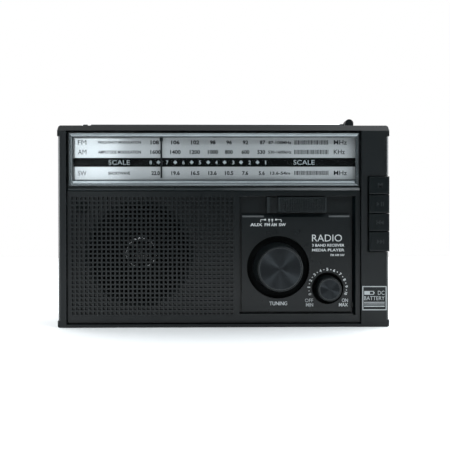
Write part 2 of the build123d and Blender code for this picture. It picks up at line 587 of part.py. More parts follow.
with BuildPart() as headphone_jack:
    slab(93.6, 106.9, 28.9, 39.1, 19.6, 29.2)
    rod_x(106.9, 108.8, 24.4, 34.0, 3.1)
    rod_x(94.8, 108.8, 24.4, 34.0, 1.8, Mode.SUBTRACT)
headphone_jack.part.label = "headphone_jack"
export_step(headphone_jack.part, "parts/headphone_jack.step")

# ---------------------------------------------------------------- speaker
with BuildPart() as speaker_basket:
    turned(SPK_X, SPK_Z, [(4.6, 35.9), (4.6, 39.6), (5.8, 39.6), (5.8, 38.0), (17.5, 24.0), (20.0, 24.0),
                          (20.0, 12.8), (18.8, 12.8), (18.8, 22.9), (17.0, 22.9), (5.6, 36.6)])
    for a in range(0, 360, 90):
        with BuildSketch(front(9.0)) as win:
            with Locations((SPK_X + 31.5 * math.cos(math.radians(a)), SPK_Z + 31.5 * math.sin(math.radians(a)))):
                Circle(4.6)
        extrude(win.sketch, amount=-6.0, mode=Mode.SUBTRACT)
    for sx, sz in SPK_SCREWS:
        disc(sx, sz, 1.2, 4.6, 5.8, Mode.SUBTRACT)
speaker_basket.part.label = "speaker_basket"
export_step(speaker_basket.part, "parts/speaker_basket.step")

with BuildPart() as speaker_magnet:
    disc(SPK_X, SPK_Z, 20.0, 20.0, 21.6, ri=10.4)
    disc(SPK_X, SPK_Z, 20.0, 21.6, 27.8, ri=12.0)
    disc(SPK_X, SPK_Z, 20.0, 27.8, 29.6)
    disc(SPK_X, SPK_Z, 9.4, 19.4, 27.8)
speaker_magnet.part.label = "speaker_magnet"
export_step(speaker_magnet.part, "parts/speaker_magnet.step")

with BuildPart() as speaker_cone:
    turned(SPK_X, SPK_Z, [(4.7, 35.6), (5.3, 35.6), (5.3, 34.0), (15.2, 12.6), (18.4, 10.1), (18.4, 9.7), (14.6, 11.6),
                          (5.0, 32.6), (3.75, 32.6), (3.75, 33.2), (4.7, 34.6)])
speaker_cone.part.label = "speaker_cone"
export_step(speaker_cone.part, "parts/speaker_cone.step")

with BuildPart() as speaker_dust_cap:
    with BuildSketch(Plane.YZ.offset(SPK_X)) as cap_profile:
        with BuildLine():
            for cr in (15.52, 14.92):
                CenterArc((YF + 24.92, SPK_Z), cr, 137.9, 42.1)
            Line((YF + 24.92 - 15.52, SPK_Z), (YF + 24.92 - 14.92, SPK_Z))
            Line((YF + 24.92 + 15.52 * math.cos(math.radians(137.9)), SPK_Z + 15.52 * math.sin(math.radians(137.9))),
                 (YF + 24.92 + 14.92 * math.cos(math.radians(137.9)), SPK_Z + 14.92 * math.sin(math.radians(137.9))))
        make_face()
    revolve(cap_profile.sketch, axis=Axis((SPK_X, 0, SPK_Z), (0, 1, 0)))
speaker_dust_cap.part.label = "speaker_dust_cap"
export_step(speaker_dust_cap.part, "parts/speaker_dust_cap.step")

# ---------------------------------------------------------------- aerial
with BuildPart() as antenna_swivel:
    rod_z(ANT_X, ANT_D, 122.6, 134.3, 2.95)
    rod_z(ANT_X, ANT_D, 121.4, 123.6, 4.6)
    rod_z(ANT_X, ANT_D, 134.3, 135.9, 4.6)
    with BuildSketch(front(ANT_D - 3.6)) as fork:
        with Locations((ANT_X, 138.5)):
            Rectangle(6.2, 7.2)
        with Locations((ANT_X, 142.1)):
            Circle(3.1)
    extrude(fork.sketch, amount=-7.2)
    slab(ANT_X - 4, ANT_X + 4, 135.9, 146.0, ANT_D - 2.0, ANT_D + 2.0, Mode.SUBTRACT)
    disc(ANT_X, ANT_Z, 0.9, ANT_D - 2.0, ANT_D + 2.0)
antenna_swivel.part.label = "antenna_swivel"
export_step(antenna_swivel.part, "parts/antenna_swivel.step")

with BuildPart() as antenna_section_1:
    rod_x(-97.0, 86.3, ANT_D, ANT_Z, 3.2, ri=2.85)
    rod_x(84.0, 86.3, ANT_D, ANT_Z, 3.0)
    slab(86.3, ANT_X, 136.5, 141.9, ANT_D - 1.8, ANT_D + 1.8)
    disc(ANT_X, ANT_Z, 2.7, ANT_D - 1.8, ANT_D + 1.8)
    disc(ANT_X, ANT_Z, 1.0, ANT_D - 1.8, ANT_D + 1.8, Mode.SUBTRACT)
antenna_section_1.part.label = "antenna_section_1"
export_step(antenna_section_1.part, "parts/antenna_section_1.step")

with BuildPart() as antenna_section_2:
    rod_x(-97.6, 83.6, ANT_D, ANT_Z, 2.7, ri=2.35)
antenna_section_2.part.label = "antenna_section_2"
export_step(antenna_section_2.part, "parts/antenna_section_2.step")

with BuildPart() as antenna_section_3:
    rod_x(-98.2, 83.2, ANT_D, ANT_Z, 2.2, ri=1.85)
antenna_section_3.part.label = "antenna_section_3"
export_step(antenna_section_3.part, "parts/antenna_section_3.step")

with BuildPart() as antenna_section_4:
    rod_x(-98.8, 82.8, ANT_D, ANT_Z, 1.7, ri=1.35)
antenna_section_4.part.label = "antenna_section_4"
export_step(antenna_section_4.part, "parts/antenna_section_4.step")

with BuildPart() as antenna_section_5:
    rod_x(-99.4, 82.4, ANT_D, ANT_Z, 1.2)
antenna_section_5.part.label = "antenna_section_5"
export_step(antenna_section_5.part, "parts/antenna_section_5.step")

with BuildPart() as antenna_tip:
    rod_x(-104.0, -99.4, ANT_D, ANT_Z, 3.2)
    fillet(antenna_tip.edges().group_by(Axis.X)[0], 1.6)
antenna_tip.part.label = "antenna_tip"
export_step(antenna_tip.part, "parts/antenna_tip.step")

# ---------------------------------------------------------------- fasteners
with BuildPart() as case_screws:
    for sx, sz in SCREW_POS:
        disc(sx, sz, 2.7, 40.0, 42.2)
        disc(sx, sz, 1.3, 19.0, 40.0)
        slab(sx - 1.6, sx + 1.6, sz - 0.35, sz + 0.35, 41.2, 42.2, Mode.SUBTRACT)
        slab(sx - 0.35, sx + 0.35, sz - 1.6, sz + 1.6, 41.2, 42.2, Mode.SUBTRACT)
case_screws.part.label = "case_screws"
export_step(case_screws.part, "parts/case_screws.step")

with BuildPart() as board_screws:
    for bx, bz in BOARD_POSTS:
        if bz > 50:
            disc(bx, bz, 2.2, 29.5, 31.0)
        else:
            disc(bx, bz, 1.15, 28.6, 29.5)
        disc(bx, bz, 0.9, 21.0, 29.5)
board_screws.part.label = "board_screws"
export_step(board_screws.part, "parts/board_screws.step")

with BuildPart() as chassis_screws:
    for bx, bz in CHASSIS_POSTS:
        disc(bx, bz, 1.7, 8.8, 10.0)
        disc(bx, bz, 0.7, 4.8, 8.8)
chassis_screws.part.label = "chassis_screws"
export_step(chassis_screws.part, "parts/chassis_screws.step")
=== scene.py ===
import bpy
import bmesh
import math
from mathutils import Vector, Matrix


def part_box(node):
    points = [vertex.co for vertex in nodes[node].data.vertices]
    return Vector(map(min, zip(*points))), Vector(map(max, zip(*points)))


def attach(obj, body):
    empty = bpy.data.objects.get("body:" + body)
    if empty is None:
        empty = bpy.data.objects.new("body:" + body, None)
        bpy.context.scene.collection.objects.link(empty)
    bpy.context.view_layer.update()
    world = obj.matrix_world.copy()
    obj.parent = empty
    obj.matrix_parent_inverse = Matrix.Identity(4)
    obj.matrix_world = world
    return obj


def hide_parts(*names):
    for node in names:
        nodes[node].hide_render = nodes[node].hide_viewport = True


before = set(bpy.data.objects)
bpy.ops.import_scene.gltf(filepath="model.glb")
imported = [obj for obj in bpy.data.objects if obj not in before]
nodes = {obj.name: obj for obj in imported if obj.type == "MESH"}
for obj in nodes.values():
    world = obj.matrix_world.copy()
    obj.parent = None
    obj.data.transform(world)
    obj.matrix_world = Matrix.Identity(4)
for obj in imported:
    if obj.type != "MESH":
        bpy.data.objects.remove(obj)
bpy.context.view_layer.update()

scene = bpy.context.scene
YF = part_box("front_cabinet")[0].y          # plane of the front rim, metres


def P(x, d, z):
    """Point from millimetres: x right, d depth behind the front rim, z up."""
    return Vector((x / 1000.0, YF + d / 1000.0, z / 1000.0))


# ------------------------------------------------------------------ camera
cam_data = bpy.data.cameras.new("camera")
cam = bpy.data.objects.new("camera", cam_data)
scene.collection.objects.link(cam)
cam_data.sensor_width = 36.0
cam_data.lens = 606.3 / 450.0 * 36.0
cam_data.clip_start = 0.01
cam_data.clip_end = 20.0
rot = Matrix.Rotation(math.radians(-0.657), 3, 'Z') @ Matrix.Rotation(math.radians(-0.500), 3, 'X') @ Matrix.Rotation(math.radians(0.076), 3, 'Y')
right, fwd, up = rot.col[0], rot.col[1], rot.col[2]
m = Matrix.Identity(4)
for i in range(3):
    m[i][0], m[i][1], m[i][2] = right[i], up[i], -fwd[i]
m.translation = P(-3.82, -400.0, 71.27)
cam.matrix_world = m
scene.camera = cam
scene.view_settings.view_transform = 'Standard'


# --------------------------------------------------------------- materials
def base_mat(name):
    mt = bpy.data.materials.new(name)
    mt.use_nodes = True
    nt = mt.node_tree
    nt.nodes.clear()
    out = nt.nodes.new("ShaderNodeOutputMaterial")
    return mt, nt, out


def N(nt, kind, **inputs):
    n = nt.nodes.new(kind)
    for k, v in inputs.items():
        n.inputs[k.replace("_", " ")].default_value = v
    return n


def rgba(c, k=1.0):
    return (c[0] * k, c[1] * k, c[2] * k, 1.0)


def surface(name, color, rough=0.45, metallic=0.0, grain=3200.0, grain_bump=0.25, grain_depth=0.00003,
            tone=0.12, tone_scale=35.0, rough_var=0.08, edge=0.0, edge_wear_and_highlight_color=None, edge_radius=0.0003,
            specular=0.5, coat=0.0, coat_rough=0.1, aniso=0.0, tangent_axis=None, ior=None, sheen=0.0,
            speck=0.0, stretch=None, grad=None):
    mt, nt, out = base_mat(name)
    L = nt.links.new
    tc = nt.nodes.new("ShaderNodeTexCoord")
    mp = nt.nodes.new("ShaderNodeMapping")
    if stretch:
        mp.inputs["Scale"].default_value = stretch
    L(tc.outputs["Object"], mp.inputs["Vector"])
    b = nt.nodes.new("ShaderNodeBsdfPrincipled")
    b.inputs["Metallic"].default_value = metallic
    b.inputs["Specular IOR Level"].default_value = specular
    b.inputs["Coat Weight"].default_value = coat
    b.inputs["Coat Roughness"].default_value = coat_rough
    if ior:
        b.inputs["IOR"].default_value = ior
    if sheen:
        b.inputs["Sheen Weight"].default_value = sheen
    # colour: slow drift of tone plus fine specks
    n1 = N(nt, "ShaderNodeTexNoise", Scale=tone_scale, Detail=5.0, Roughness=0.6)
    L(tc.outputs["Object"], n1.inputs["Vector"])
    mix = nt.nodes.new("ShaderNodeMix")
    mix.data_type = 'RGBA'
    mix.inputs["A"].default_value = rgba(color, 1 - tone)
    mix.inputs["B"].default_value = rgba(color, 1 + tone)
    L(n1.outputs["Fac"], mix.inputs["Factor"])
    col = mix.outputs["Result"]
    n3 = N(nt, "ShaderNodeTexNoise", Scale=grain, Detail=3.0, Roughness=0.65)
    L(mp.outputs["Vector"], n3.inputs["Vector"])
    if speck:
        mr = N(nt, "ShaderNodeMapRange")
        mr.inputs["From Min"].default_value = 0.35
        mr.inputs["From Max"].default_value = 0.75
        mr.inputs["To Min"].default_value = 0.0
        mr.inputs["To Max"].default_value = speck
        L(n3.outputs["Fac"], mr.inputs["Value"])
        mx = nt.nodes.new("ShaderNodeMix")
        mx.data_type = 'RGBA'
        L(mr.outputs["Result"], mx.inputs["Factor"])
        L(col, mx.inputs["A"])
        mx.inputs["B"].default_value = rgba([min(1, c * 2.2 + 0.01) for c in color])
        col = mx.outputs["Result"]
    # painted highlight along edges, partly wear: the colour lightens where the bevel normal turns away from the face
    # normal, broken up by noise
    if edge > 0:
        bev = nt.nodes.new("ShaderNodeBevel")
        bev.samples = 4
        bev.inputs["Radius"].default_value = edge_radius
        geo = nt.nodes.new("ShaderNodeNewGeometry")
        dot = nt.nodes.new("ShaderNodeVectorMath")
        dot.operation = 'DOT_PRODUCT'
        L(bev.outputs["Normal"], dot.inputs[0])
        L(geo.outputs["True Normal"], dot.inputs[1])
        er = N(nt, "ShaderNodeMapRange")
        er.inputs["From Min"].default_value = 0.995
        er.inputs["From Max"].default_value = 0.85
        er.inputs["To Min"].default_value = 0.0
        er.inputs["To Max"].default_value = edge
        L(dot.outputs["Value"], er.inputs["Value"])
        wn = N(nt, "ShaderNodeTexNoise", Scale=260.0, Detail=3.0, Roughness=0.6)
        L(tc.outputs["Object"], wn.inputs["Vector"])
        mul = nt.nodes.new("ShaderNodeMath")
        mul.operation = 'MULTIPLY'
        L(er.outputs["Result"], mul.inputs[0])
        L(wn.outputs["Fac"], mul.inputs[1])
        me = nt.nodes.new("ShaderNodeMix")
        me.data_type = 'RGBA'
        L(mul.outputs["Value"], me.inputs["Factor"])
        L(col, me.inputs["A"])
        me.inputs["B"].default_value = rgba(edge_wear_and_highlight_color or [min(1, c * 2.5 + 0.03) for c in color])
        col = me.outputs["Result"]
    if grad:
        # colour that changes along the width: (x0, x1, colour at x0); the ledge highlight uses it for painted light
        # that fades towards the left
        sx = nt.nodes.new("ShaderNodeSeparateXYZ")
        L(tc.outputs["Object"], sx.inputs["Vector"])
        gr = N(nt, "ShaderNodeMapRange")
        gr.inputs["From Min"].default_value = grad[0]
        gr.inputs["From Max"].default_value = grad[1]
        L(sx.outputs["X"], gr.inputs["Value"])
        mg = nt.nodes.new("ShaderNodeMix")
        mg.data_type = 'RGBA'
        L(gr.outputs["Result"], mg.inputs["Factor"])
        mg.inputs["A"].default_value = rgba(grad[2])
        L(col, mg.inputs["B"])
        col = mg.outputs["Result"]
    L(col, b.inputs["Base Color"])
    # roughness drifts
    n2 = N(nt, "ShaderNodeTexNoise", Scale=tone_scale * 6, Detail=4.0, Roughness=0.7)
    L(tc.outputs["Object"], n2.inputs["Vector"])
    rr = N(nt, "ShaderNodeMapRange")
    rr.inputs["To Min"].default_value = max(0.02, rough - rough_var)
    rr.inputs["To Max"].default_value = min(1.0, rough + rough_var)
    L(n2.outputs["Fac"], rr.inputs["Value"])
    L(rr.outputs["Result"], b.inputs["Roughness"])
    # fine relief
    bump = nt.nodes.new("ShaderNodeBump")
    bump.inputs["Strength"].default_value = grain_bump
    bump.inputs["Distance"].default_value = grain_depth
    L(n3.outputs["Fac"], bump.inputs["Height"])
    if edge_radius > 0 and edge > 0:
        L(bev.outputs["Normal"], bump.inputs["Normal"])
    L(bump.outputs["Normal"], b.inputs["Normal"])
    if aniso:
        b.inputs["Anisotropic"].default_value = aniso
        tg = nt.nodes.new("ShaderNodeTangent")
        tg.direction_type = 'RADIAL'
        tg.axis = tangent_axis or 'Y'
        L(tg.outputs["Tangent"], b.inputs["Tangent"])
    L(b.outputs["BSDF"], out.inputs["Surface"])
    return mt


def clear_plastic(name, tint=(0.93, 0.95, 0.96), ior=1.49, rough=0.03, haze=0.02):
    """Thin clear acrylic: see-through, with gloss by the Fresnel term."""
    mt, nt, out = base_mat(name)
    L = nt.links.new
    tr = nt.nodes.new("ShaderNodeBsdfTransparent")
    tr.inputs["Color"].default_value = rgba(tint)
    gl = nt.nodes.new("ShaderNodeBsdfGlossy")
    gl.inputs["Roughness"].default_value = rough
    tc = nt.nodes.new("ShaderNodeTexCoord")
    nz = N(nt, "ShaderNodeTexNoise", Scale=900.0, Detail=4.0, Roughness=0.7)
    L(tc.outputs["Object"], nz.inputs["Vector"])
    rr = N(nt, "ShaderNodeMapRange")
    rr.inputs["To Min"].default_value = rough * 0.5
    rr.inputs["To Max"].default_value = rough * 1.8
    L(nz.outputs["Fac"], rr.inputs["Value"])
    L(rr.outputs["Result"], gl.inputs["Roughness"])
    bm = nt.nodes.new("ShaderNodeBump")
    bm.inputs["Strength"].default_value = 0.008
    bm.inputs["Distance"].default_value = 0.00002
    L(nz.outputs["Fac"], bm.inputs["Height"])
    L(bm.outputs["Normal"], gl.inputs["Normal"])
    fr = nt.nodes.new("ShaderNodeFresnel")
    fr.inputs["IOR"].default_value = ior
    # gloss on the outer faces only: light leaving the sheet passes straight on
    geo = nt.nodes.new("ShaderNodeNewGeometry")
    inv = nt.nodes.new("ShaderNodeMath")
    inv.operation = 'SUBTRACT'
    inv.inputs[0].default_value = 1.0
    L(geo.outputs["Backfacing"], inv.inputs[1])
    fm = nt.nodes.new("ShaderNodeMath")
    fm.operation = 'MULTIPLY'
    L(fr.outputs["Fac"], fm.inputs[0])
    L(inv.outputs["Value"], fm.inputs[1])
    ms = nt.nodes.new("ShaderNodeMixShader")
    L(fm.outputs["Value"], ms.inputs["Fac"])
    L(tr.outputs["BSDF"], ms.inputs[1])
    L(gl.outputs["BSDF"], ms.inputs[2])
    df = nt.nodes.new("ShaderNodeBsdfDiffuse")
    df.inputs["Color"].default_value = (0.8, 0.82, 0.83, 1)
    m2 = nt.nodes.new("ShaderNodeMixShader")
    m2.inputs["Fac"].default_value = haze
    L(ms.outputs["Shader"], m2.inputs[1])
    L(df.outputs["BSDF"], m2.inputs[2])
    L(m2.outputs["Shader"], out.inputs["Surface"])
    return mt


CASE = (0.0020, 0.0042, 0.0052)
M = {}
M["case"] = surface("case_black", CASE, rough=0.40, edge=0.30, edge_wear_and_highlight_color=(0.035, 0.041, 0.044), edge_radius=0.0005, speck=0.06, specular=0.38)
M["fascia"] = surface("fascia_black", (0.0012, 0.0034, 0.0042), rough=0.32, edge=0.25, edge_wear_and_highlight_color=(0.03, 0.036, 0.038), edge_radius=0.00025, speck=0.04, specular=0.40)
M["plate"] = surface("control_plate_black", (0.0022, 0.0045, 0.0054), rough=0.30, edge=0.30, edge_wear_and_highlight_color=(0.03, 0.036, 0.038), edge_radius=0.0003, speck=0.05, specular=0.37)
M["key"] = surface("key_black", (0.0030, 0.0054, 0.0062), rough=0.33, edge=0.35, edge_wear_and_highlight_color=(0.02, 0.024, 0.026), edge_radius=0.0004, speck=0.05, specular=0.22)
M["slider"] = surface("slider_black", (0.0085, 0.0125, 0.0138), rough=0.40, edge=0.3, edge_radius=0.0003, speck=0.05, specular=0.35)
M["knob"] = surface("knob_black", (0.0075, 0.0100, 0.0108), rough=0.34, edge=0.25, edge_wear_and_highlight_color=(0.02, 0.024, 0.026), edge_radius=0.0002, grain_bump=0.08, specular=0.25)
# painted shade: near-black colour for the liners in the knob recesses
M["well"] = surface("well_black", (0.0012, 0.0018, 0.0018), rough=0.7, grain_bump=0.2, specular=0.08)
M["disc"] = surface("spun_disc", (0.040, 0.045, 0.049), rough=0.50, metallic=1.0, aniso=1.0, tangent_axis='Y', grain_bump=0.04, rough_var=0.03, tone=0.06)
M["chrome"] = surface("antenna_chrome", (0.82, 0.83, 0.84), rough=0.10, metallic=1.0, grain=1500, grain_bump=0.03, rough_var=0.05, tone=0.04)
M["fork"] = surface("antenna_fork", (0.012, 0.014, 0.015), rough=0.3, edge=0.5, edge_wear_and_highlight_color=(0.12, 0.12, 0.12), edge_radius=0.0003, specular=0.35)
M["scale"] = surface("dial_silver", (0.67, 0.655, 0.645), rough=0.13, metallic=0.34, grain=5200, grain_bump=0.015, tone=0.04, rough_var=0.02, speck=0.02)
M["ink_black"] = surface("dial_ink", (0.0008, 0.0014, 0.0014), rough=0.5, grain_bump=0.05, specular=0.05)
M["ink_text"] = surface("dial_text_ink", (0.004, 0.005, 0.0055), rough=0.4, grain_bump=0.05, specular=0.2)
M["ink_grey"] = surface("dial_text_light", (0.42, 0.45, 0.46), rough=0.4, grain_bump=0.05, specular=0.3)
M["white"] = surface("print_white", (0.56, 0.59, 0.60), rough=0.5, grain_bump=0.1)
M["badge"] = surface("badge_black", (0.0085, 0.011, 0.0118), rough=0.3, grain_bump=0.05, specular=0.25)
M["badge_print"] = surface("badge_silver", (0.42, 0.45, 0.46), rough=0.35, metallic=0.2, grain_bump=0.08)
M["pointer"] = surface("pointer_black", (0.006, 0.0075, 0.008), rough=0.35, edge=0.3, specular=0.3)
M["emboss"] = surface("key_mark", (0.013, 0.0165, 0.018), rough=0.42, grain_bump=0.1, specular=0.3)
M["cone"] = surface("paper_cone", (0.0022, 0.0026, 0.0028), rough=0.85, grain=900, grain_bump=0.5, grain_depth=0.0001, specular=0.2)
M["cap"] = surface("dust_cap", (0.006, 0.007, 0.0075), rough=0.16, grain=600, grain_bump=0.10, coat=1.0, coat_rough=0.04)
M["steel"] = surface("zinc_steel", (0.50, 0.51, 0.52), rough=0.34, metallic=1.0, grain=1800, grain_bump=0.15)
M["nylon"] = surface("nylon_white", (0.62, 0.62, 0.58), rough=0.5, sheen=0.05)
M["board"] = surface("phenolic_board", (0.27, 0.15, 0.055), rough=0.55, grain=600, grain_bump=0.3, tone=0.25)
M["chip"] = surface("component_black", (0.02, 0.02, 0.022), rough=0.5)
M["ferrite"] = surface("ferrite", (0.035, 0.035, 0.038), rough=0.6, grain=1200, grain_bump=0.5, speck=0.2)
M["copper"] = surface("copper_wire", (0.55, 0.22, 0.08), rough=0.3, metallic=0.9, grain=500, grain_bump=0.4, stretch=(18.0, 1.0, 1.0))
M["cord"] = surface("cord_textile", (0.62, 0.58, 0.46), rough=0.9, grain=2600, grain_bump=0.6, grain_depth=0.0001, sheen=0.3)
M["cap_ring"] = surface("dust_cap_ring", (0.92, 0.94, 0.95), rough=0.14, metallic=1.0, grain=900, grain_bump=0.12)
M["lamp"] = surface("lamp_red", (0.05, 0.006, 0.005), rough=0.15, coat=0.8, grain_bump=0.03)
M["lens"] = clear_plastic("lens_acrylic", ior=1.13, haze=0.002)
# painted reflections of the lens's edge: opaque colours standing in for the light and shade seen in the clear rim
M["rim_mid"] = surface("acrylic_edge_painted_reflection", (0.25, 0.26, 0.263), rough=0.22, metallic=0.3, grain=700, grain_bump=0.10, tone=0.2, tone_scale=60)
M["rim_bright"] = surface("acrylic_edge_lit", (0.60, 0.61, 0.615), rough=0.18, metallic=0.4, grain=700, grain_bump=0.10, tone=0.25, tone_scale=80)
M["rim_dark"] = surface("acrylic_edge_shade", (0.20, 0.21, 0.213), rough=0.2, grain=700, grain_bump=0.10, tone=0.2, specular=0.3)

# lit and shaded copies of those painted colours for the left-hand and right-hand bars
M["rim_left"] = surface("acrylic_edge_left_painted_shade", (0.14, 0.148, 0.15), rough=0.22, metallic=0.3, grain=700, grain_bump=0.10, tone=0.2, tone_scale=60)
M["rim_left_lit"] = surface("acrylic_rib_left_painted_highlight", (0.40, 0.415, 0.42), rough=0.2, metallic=0.3, grain=700, grain_bump=0.10, tone=0.2, tone_scale=60)
M["rim_right_mid"] = surface("acrylic_edge_right_painted_shade", (0.095, 0.10, 0.102), rough=0.22, metallic=0.3, grain=700, grain_bump=0.10, tone=0.2, tone_scale=60)
M["rim_right"] = surface("acrylic_rib_right_painted_shade", (0.15, 0.158, 0.16), rough=0.2, metallic=0.3, grain=700, grain_bump=0.10, tone=0.2, tone_scale=60)
M["rim_right_dark"] = surface("acrylic_shade_right", (0.045, 0.05, 0.052), rough=0.2, grain=700, grain_bump=0.10, tone=0.2, specular=0.3)
# painted shade: dark line along the lens's lower edge
M["sill_line"] = surface("window_sill_line", (0.075, 0.082, 0.085), rough=0.25, grain=700, grain_bump=0.10, specular=0.3)
M["backing"] = surface("grille_backing", (0.0075, 0.0108, 0.0118), rough=0.7, grain=1400, grain_bump=0.4, specular=0.2)
M["rim_line"] = surface("disc_rim_line", (0.045, 0.050, 0.053), rough=0.3, metallic=0.6, grain_bump=0.05)
# painted highlight on the plate's upper bevel
M["arris"] = surface("plate_arris", (0.095, 0.102, 0.105), rough=0.3, specular=0.5, grain_bump=0.15)
# painted highlight for the ledge under the dial, darker towards the left
M["bead"] = surface("ledge_bead_gloss", (0.150, 0.158, 0.162), rough=0.30, specular=0.5, grain_bump=0.15, grad=(-0.01, 0.075, (0.020, 0.025, 0.027)))

for mat, names in {
    "case": ["front_cabinet", "rear_cabinet", "battery_door"],
    "fascia": ["front_fascia", "speaker_grille"],
    "plate": ["control_plate"],
    "key": ["mode_key", "play_key", "previous_key", "next_key"],
    "slider": ["band_slider"],
    "knob": ["tuning_knob", "volume_knob"],
    "disc": ["tuning_knob_disc", "volume_knob_disc"],
    "chrome": ["antenna_section_1", "antenna_section_2", "antenna_section_3", "antenna_section_4", "antenna_section_5", "antenna_tip"],
    "fork": ["antenna_swivel"],
    "scale": ["dial_scale"],
    "badge": ["power_badge"],
    "pointer": ["dial_pointer"],
    "cone": ["speaker_cone"],
    "cap": ["speaker_dust_cap"],
    "steel": ["tuning_capacitor", "volume_pot", "tuning_shaft", "volume_shaft", "if_cans", "mains_transformer", "battery_springs",
              "battery_contacts", "case_screws", "board_screws", "chassis_screws", "usb_socket", "speaker_basket"],
    "nylon": ["dial_chassis", "dial_pulley_left", "dial_pulley_right", "dial_pulley_middle", "tuning_drum"],
    "board": ["main_board", "player_board"],
    "chip": ["board_components", "band_switch", "key_switches", "ferrite_holders", "mains_inlet", "headphone_jack", "card_socket"],
    "ferrite": ["ferrite_rod", "speaker_magnet"],
    "copper": ["ferrite_coils"],
    "cord": ["dial_cord"],
    "lamp": ["indicator_led"],
    "lens": ["dial_lens"],
}.items():
    for n in names:
        me = nodes[n].data
        me.materials.clear()
        me.materials.append(M[mat])


# ---------------------------------------------------------- mesh helpers
class Group:
    """Collects closed bits of one printed or moulded layer into one mesh."""

    def __init__(self, name, mat, body="root", slot=None):
        self.name, self.mat, self.body, self.slot = name, mat, body, slot
        self.v, self.f = [], []

    def add(self, verts, faces):
        k = len(self.v)
        self.v.extend(verts)
        self.f.extend([tuple(i + k for i in f) for f in faces])

    def prism(self, pts, d0, d1):
        """Closed prism from an outline of (x, z), from depth d0 to d1."""
        n = len(pts)
        vs = [P(x, d0, z) for x, z in pts] + [P(x, d1, z) for x, z in pts]
        fs = [tuple(range(n)), tuple(range(2 * n - 1, n - 1, -1))]
        fs += [(i, i + n, (i + 1) % n + n, (i + 1) % n) for i in range(n)]
        self.add(vs, fs)

    def rect(self, x0, x1, z0, z1, d0, d1):
        self.prism([(x0, z0), (x1, z0), (x1, z1), (x0, z1)], d0, d1)

    def disc(self, x, z, r, d0, d1, n=20):
        self.prism([(x + r * math.cos(2 * math.pi * i / n), z + r * math.sin(2 * math.pi * i / n)) for i in range(n)], d0, d1)

    def text(self, s, x0, x1, z0, z1, d, thick=0.05, bold=0.012, turn=0.0):
        """Lettering that fills the box x0..x1, z0..z1, facing the front."""
        cu = bpy.data.curves.new("t", 'FONT')
        cu.body = s
        cu.resolution_u = 3
        cu.extrude = 0.01
        cu.offset = bold
        ob = bpy.data.objects.new("t", cu)
        scene.collection.objects.link(ob)
        bpy.context.view_layer.update()
        me = bpy.data.meshes.new_from_object(ob)
        xs = [v.co.x for v in me.vertices]
        ys = [v.co.y for v in me.vertices]
        lx, hx, ly, hy = min(xs), max(xs), min(ys), max(ys)
        w, h = x1 - x0, z1 - z0
        cx, cz = (x0 + x1) / 2, (z0 + z1) / 2
        ca, sa = math.cos(turn), math.sin(turn)
        vs = []
        for v in me.vertices:
            a = ((v.co.x - lx) / (hx - lx) - 0.5) * w
            b = ((v.co.y - ly) / (hy - ly) - 0.5) * h
            dd = d - thick if v.co.z > 0 else d
            vs.append(P(cx + a * ca - b * sa, dd, cz + a * sa + b * ca))
        self.add(vs, [tuple(p.vertices) for p in me.polygons])
        bpy.data.objects.remove(ob)
        bpy.data.curves.remove(cu)
        bpy.data.meshes.remove(me)

    def mid(self, s, cx, cz, h, w, d, **k):
        self.text(s, cx - w / 2, cx + w / 2, cz - h / 2, cz + h / 2, d, **k)

    def build(self, smooth=False):
        me = bpy.data.meshes.new(self.name)
        me.from_pydata([tuple(v) for v in self.v], [], self.f)
        bm = bmesh.new()
        bm.from_mesh(me)
        bmesh.ops.remove_doubles(bm, verts=bm.verts, dist=1e-7)
        bmesh.ops.recalc_face_normals(bm, faces=bm.faces)
        bm.to_mesh(me)
        bm.free()
        me.materials.append(self.mat)
        if smooth:
            for p in me.polygons:
                p.use_smooth = True
        ob = bpy.data.objects.new(self.name, me)
        scene.collection.objects.link(ob)
        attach(ob, self.body)
        return ob


# ------------------------------------------------------------ dial prints
def mm(node):
    lo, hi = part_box(node)
    return (lo.x * 1000, hi.x * 1000, (lo.y - YF) * 1000, (hi.y - YF) * 1000, lo.z * 1000, hi.z * 1000)


sx0, sx1, sd, _, sz0, sz1 = mm("dial_scale")
band = Group("dial_black_band", M["ink_black"], slot="dial_print")
band.rect(sx0 + 0.05, sx1 - 0.05, 106.72, 112.67, sd - 0.05, sd)
band.build()

ink = Group("dial_lettering", M["ink_text"], slot="dial_print")
T = 0.05
for s, z in (("FM", 123.0), ("AM", 116.6), ("SW", 102.5)):
    ink.mid(s, -94.5, z, 3.2, 5.7, sd, bold=0.0)
ink.text("FREQUENCY MODULATION", -83.9, -55.3, 121.9, 124.0, sd, bold=0.025)
ink.text("AMPLITUDE MODULATION", -83.9, -55.3, 115.5, 117.6, sd, bold=0.025)
ink.text("SHORTWAVE", -77.2, -62.6, 101.4, 103.5, sd, bold=0.025)
for s, x in (("108", -46.1), ("106", -32.3), ("102", -19.05), ("98", -7.27), ("96", 3.65), ("92", 14.63), ("87", 26.08)):
    ink.mid(s, x, 123.0, 2.7, 1.85 * len(s), sd, bold=0.035)
for s, x in (("1600", -45.5), ("1400", -32.3), ("1200", -19.25), ("1000", -7.1), ("800", 3.5), ("600", 14.6), ("530", 25.2)):
    ink.mid(s, x, 116.6, 2.7, 1.75 * len(s), sd, bold=0.035)
for s, x in (("22.0", -45.5), ("19.6", -32.2), ("16.5", -19.0), ("13.6", -7.46), ("10.5", 3.65), ("7.6", 14.4), ("5.6", 25.5)):
    ink.mid(s, x, 102.5, 2.7, 1.62 * (len(s) - 1) + 0.8, sd, bold=0.035)
ink.text("87-108MHz", 30.0, 45.4, 121.9, 124.0, sd, bold=0.025)
ink.text("530-1600kHz", 29.8, 45.5, 115.5, 117.6, sd, bold=0.025)
ink.text("13.6-54m", 31.2, 44.5, 101.4, 103.5, sd, bold=0.025)
ink.text("MHz", 73.9, 82.7, 121.6, 124.6, sd, bold=0.012)
ink.text("KHz", 73.9, 81.3, 115.2, 118.2, sd, bold=0.012)
